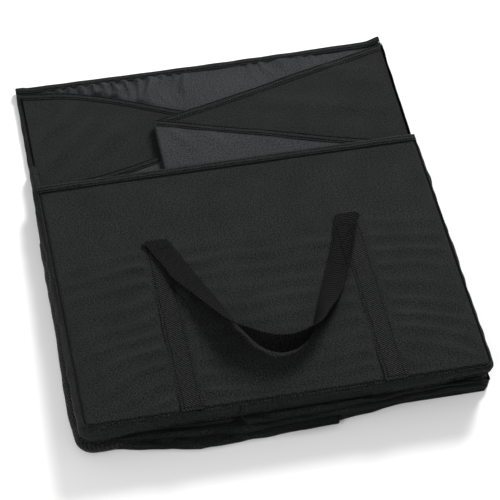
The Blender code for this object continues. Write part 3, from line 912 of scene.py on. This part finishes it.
def gusset_lines(side, part, per_half=92, turns=9):
    """(x, z, share of the way from the rear half to the front half) from seam to crease to seam."""
    offset, radius = GUSSET_CLOTH[part]
    crease = JOINTS[f"{side}_gusset_crease"]
    seam = -SEAM_X if side == "left" else SEAM_X
    inward = 1 if side == "left" else -1
    edge = crease.x - inward * 0.0028
    out = np.linspace(seam + inward * 0.0012, edge, per_half, endpoint=False)
    rear_z = crease.z - offset
    front_z = crease.z + offset
    lines = [(x, rear_z, 0.0) for x in out]
    for turn in np.linspace(-90, 90, turns):
        a = math.radians(turn)
        x = edge + inward * radius * math.cos(a)
        lines.append((x, crease.z + offset * math.sin(a), (turn + 90) / 180))
    lines += [(x, front_z, 1.0) for x in out[::-1]]
    return lines


def gusset_grid(side, part, drop=0.0020, rows=46):
    """A gusset's middle surface: its rear half, the turn at the crease and its front half."""
    rear_top = curve_through(GUSSET_TOPS[side, "rear"])
    front_top = curve_through(GUSSET_TOPS[side, "front"])
    foot = PLEAT_INNER_Y + 0.0003
    grid = []
    for x, z, share in gusset_lines(side, part):
        top = float(rear_top(x) * (1 - share) + front_top(x) * share) - drop
        ys = foot + (top - foot) * np.linspace(0, 1, rows) ** 0.8
        grid.append([(x, y, z) for y in ys])
    return np.array(grid)


def read_points(piece):
    """The piece's vertices, with y measured from the panels' foot edges."""
    points = np.zeros(len(piece.data.vertices) * 3)
    piece.data.vertices.foreach_get("co", points)
    points = points.reshape(-1, 3)
    points[:, 1] -= FOOT
    return points


def write_points(piece, points):
    moved = points + (0.0, FOOT, 0.0)
    piece.data.vertices.foreach_set("co", moved.ravel())
    piece.data.update()


def lift_off(piece, layer):
    """Lifts the loose upper part of a gusset's piece off the layers below."""
    points = read_points(piece)
    points[:, 2] += stack_lift(points[:, 0], points[:, 1], layer)
    write_points(piece, points)


def build_gusset_sheet(side, layer, part, cloth):
    """The skin or the lining, flat on both halves and bent round the crease, then lifted."""
    grid = gusset_grid(side, part)
    if side == "right":
        grid = grid[:, ::-1]
    sheet = Shape().cloth(grid, SKIN).piece(f"{side}_gusset_{part}", cloth)
    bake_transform(sheet)
    lift_off(sheet, layer)
    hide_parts(f"{side}_gusset_rear_{part}", f"{side}_gusset_front_{part}")
    return sheet


def build_gusset_tape(side, half, layer):
    """The ribbed tape over one half's top edge, with its two rows of stitches."""
    top = curve_through(GUSSET_TOPS[side, half])
    share = 0.0 if half == "rear" else 1.0
    xs = [x for x, _, place in gusset_lines(side, "skin") if place == share]
    middle = JOINTS[f"{side}_gusset_crease"].z + (2 * share - 1) * 0.00152
    insets = np.linspace(TAPE_WIDTH, 0.0012, 22)
    section = [(-inset, 0.0017 - groove(inset, TAPE_ROWS)) for inset in insets]
    section += [(-0.0004, 0.0009), (0.0, 0.0), (-0.0004, -0.0008), (-0.0015, -0.0013)]
    section += [(-TAPE_WIDTH / 2, -0.0015), (-TAPE_WIDTH, -0.0013)]
    grid = np.array([[(x, float(top(x)) + out, middle + up) for out, up in section] for x in xs])
    if side == "right":
        grid = grid[:, ::-1]
    tape = Shape().cloth(grid, 0.0005).piece(f"{side}_{half}_edge_tape", "tape")
    threads = Shape()
    for inset in TAPE_ROWS:
        threads.stitches([(x, float(top(x)) - inset, middle + 0.0013) for x in xs])
    thread = threads.piece(f"{side}_{half}_edge_stitching", "thread")
    for piece in (tape, thread):
        lift_off(piece, layer)
        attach(piece, f"{side}_gusset_{half}")
    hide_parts(f"{side}_gusset_{half}_binding")
    return [tape, thread]


def build_gusset(side, layer):
    """One gusset: black skin, grey lining, and a stitched tape over the top edge of each half."""
    skin = build_gusset_sheet(side, layer, "skin", "soft")
    lining = build_gusset_sheet(side, layer, "lining", "lining")
    edges = build_gusset_tape(side, "rear", layer)
    edges += build_gusset_tape(side, "front", layer)


# --- the pleated bottom ---

FLAT_ROWS = 19
ARC_ROWS = 15


def fold_outer(number, x):
    """Where the outer edge of this fold lies."""
    xs, ys = np.array(FOLDS[number][2]).T
    return np.interp(x, xs, ys) + 0.0008 * ripple(x, np.zeros_like(x), 0.045, 110 + number)


def fold_grid(number, xs):
    """One outward fold of the bottom sheet, from the inner line out and back, as flat layers."""
    lower = JOINTS[f"pleat_fold_{2 * number + 1:02d}"].z + PLEAT_LAYER / 2
    upper = lower + PLEAT_LAYER
    middle = (lower + upper) / 2
    radius = (upper - lower) / 2
    outer = fold_outer(number, xs) + radius
    outwards = 1 - (1 - np.linspace(0, 1, FLAT_ROWS + 1)) ** 1.8

    def row(y, height):
        return np.stack([xs, y, np.full_like(xs, height)], 1)

    flat = [PLEAT_INNER_Y + (outer - PLEAT_INNER_Y) * share for share in outwards[:-1]]
    grid = [row(y, lower) for y in flat]
    for turn in np.linspace(-90, 90, ARC_ROWS):
        a = math.radians(turn)
        grid.append(row(outer - radius * math.cos(a), middle + radius * math.sin(a)))
    grid += [row(y, upper) for y in flat[::-1]]
    return np.array(grid)


def gusset_lean(number):
    """How much narrower than the panels this fold is on each side, so that it fits the gussets.

    The opened gussets lean in towards their creases. The fold follows the lean at its edge nearer
    to a panel, less a small overlap.
    """
    pleat = abs(JOINTS["left_gusset_crease"].x - JOINTS["left_rear_seam"].x) / len(FOLDS)
    height = 2 * pleat * min(number, len(FOLDS) - 1 - number)
    return max(0.0, height * math.tan(math.radians(90 - OPEN_TURN)) - 0.0018)


def fan_out(piece, number):
    """Puffs up the fold's outer part to its own height, and crumples it."""
    bottom, top, _ = FOLDS[number]
    points = read_points(piece)
    count = len(points) // 2
    middle = (points[:count] + points[count:]) / 2
    wall = (points[:count] - points[count:]) / 2
    x, y, z = middle.T
    hinge = JOINTS[f"pleat_fold_{2 * number + 2:02d}"].z
    out = ease(PLEAT_INNER_Y - y, 0.005, 0.027)
    inside = np.clip((y - fold_outer(number, x)) / (0.6 * (top - bottom) + 0.0005), 0.0, 1.0)
    section = np.sqrt(1 - (1 - inside) ** 2) * 0.85 + 0.15
    wave = 1 + 0.25 * ripple(x, y, 0.07, 80 + number)
    half = (top - bottom - 0.0006) / 2 * section * wave
    layer = np.clip((z - hinge) / (PLEAT_LAYER / 2), -1.0, 1.0)
    puffed = (bottom + top) / 2 + layer * half
    crumple = 0.0005 * ripple(x, y, 0.075, 90 + number)
    crumple = crumple + (top - bottom) * 0.14 * ripple(x, 2 * y, 0.024, 120 + number)
    if number == 3:
        crumple = crumple + 0.0012 * crest(x, y, (-0.140, 0.000), (-0.050, -0.010), 0.0030)
    if number == 5:
        crumple = crumple + 0.0012 * crest(x, y, (-0.030, -0.004), (0.090, -0.003), 0.0022)
    ends = ease(SEAM_X - np.abs(x), 0.0, 0.030)
    height = z + out * (0.35 + 0.65 * ends) * (puffed + crumple - z)
    middle[:, 2] = np.maximum(height, 0.0008 + 0.0002 * layer)
    write_points(piece, np.concatenate([middle + wall, middle - wall]))


def build_bottom():
    """Seven outward folds of one soft sheet, built folded flat; on the real bin they all open out as
    it unfolds.
    """
    for number in range(len(FOLDS)):
        side = SEAM_X - 0.0008 - gusset_lean(number)
        xs = np.linspace(-side, side, 300)
        grid = fold_grid(number, xs)[:, ::-1]
        slack = math.pi * (fold_outer(number, grid[0, :, 0]) - PLEAT_OUTER_Y)
        fold = Shape().cloth(grid, FOLD_SKIN)
        fold.slacken(grid, FLAT_ROWS - 1, len(grid) - FLAT_ROWS, slack)
        fold = fold.piece(f"bottom_fold_{number + 1}", "soft")
        first, second = (f"bottom_pleat_{2 * number + k:02d}" for k in (1, 2))
        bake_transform(fold)
        fan_out(fold, number)
        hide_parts(first, second)
        depth = 2 * (PLEAT_INNER_Y - float(np.mean(fold_outer(number, xs))))


# --- stitching, stage and camera ---

def build_panel_stitching(front_rows, rear_rows):
    """The rows of thread on the front and the rear panel."""
    for name, body, rows in (("front_stitching", "front_panel", front_rows),
                             ("rear_stitching", "rear_panel", rear_rows)):
        threads = Shape()
        for row in rows:
            threads.stitches(row)
        piece = threads.piece(name, "thread")
        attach(piece, body)


def add_floor():
    """A plain, nearly white floor."""
    bpy.ops.mesh.primitive_plane_add(size=24.0, location=(0, 0, -0.0004))
    floor = bpy.context.object
    floor.name = "floor"
    n = Nodes("pale_floor")
    n.shader.inputs["Base Color"].default_value = (0.93, 0.93, 0.93, 1.0)
    n.shader.inputs["Roughness"].default_value = 0.9
    n.shader.inputs["Specular IOR Level"].default_value = 0.1
    floor.data.materials.append(n.material)


def add_light(name, place, target, size, power):
    light = bpy.data.lights.new(name, "AREA")
    light.size = size
    light.energy = power
    holder = bpy.data.objects.new(name, light)
    holder.location = place
    holder.rotation_euler = (Vector(target) - Vector(place)).to_track_quat("-Z", "Y").to_euler()
    bpy.context.scene.collection.objects.link(holder)


def add_lights():
    """Even studio light with a soft key from the far right."""
    world = bpy.data.worlds.new("studio")
    bpy.context.scene.world = world
    world.use_nodes = True
    background = world.node_tree.nodes["Background"]
    background.inputs["Color"].default_value = (1.0, 1.0, 1.0, 1.0)
    background.inputs["Strength"].default_value = 0.47
    add_light("key", (2.2, 3.4, 2.3), (0, 0, 0), 1.4, 330.0)
    add_light("fill", (-1.6, -2.0, 1.8), (0, 0, 0), 1.4, 48.0)


def add_camera():
    """A long lens that looks down at the folded bin from a little to its left."""
    turn = math.radians(11.0)
    tilt = math.radians(49.0)
    distance = 3.0
    target = Vector((0.001, -0.0324, 0.020))
    ahead = Vector((math.sin(turn) * math.cos(tilt), math.cos(turn) * math.cos(tilt), -math.sin(tilt)))
    camera = bpy.data.cameras.new("camera")
    camera.lens = 187.6
    camera.sensor_width = 36.0
    holder = bpy.data.objects.new("camera", camera)
    holder.location = target - ahead * distance
    holder.rotation_euler = ahead.to_track_quat("-Z", "Y").to_euler()
    bpy.context.scene.collection.objects.link(holder)
    bpy.context.scene.camera = holder


def build():
    add_camera()
    add_floor()
    add_lights()
    bpy.context.scene.view_settings.view_transform = "Standard"
    build_rear_cover()
    build_rear_lining()
    build_rear_edge()
    rear_rows = build_rear_hem()
    build_gusset("left", 0)
    build_gusset("right", 1)
    build_bottom()
    build_front_lining()
    build_seam_tape("front_left_seam_tape", "front_panel")
    build_seam_tape("rear_right_seam_tape", "rear_panel")
    build_front_band()
    build_front_cover()
    front_rows = build_front_hem() + build_straps()
    build_panel_stitching(front_rows, rear_rows)
    build_handle()
    build_strap_folds()


build()
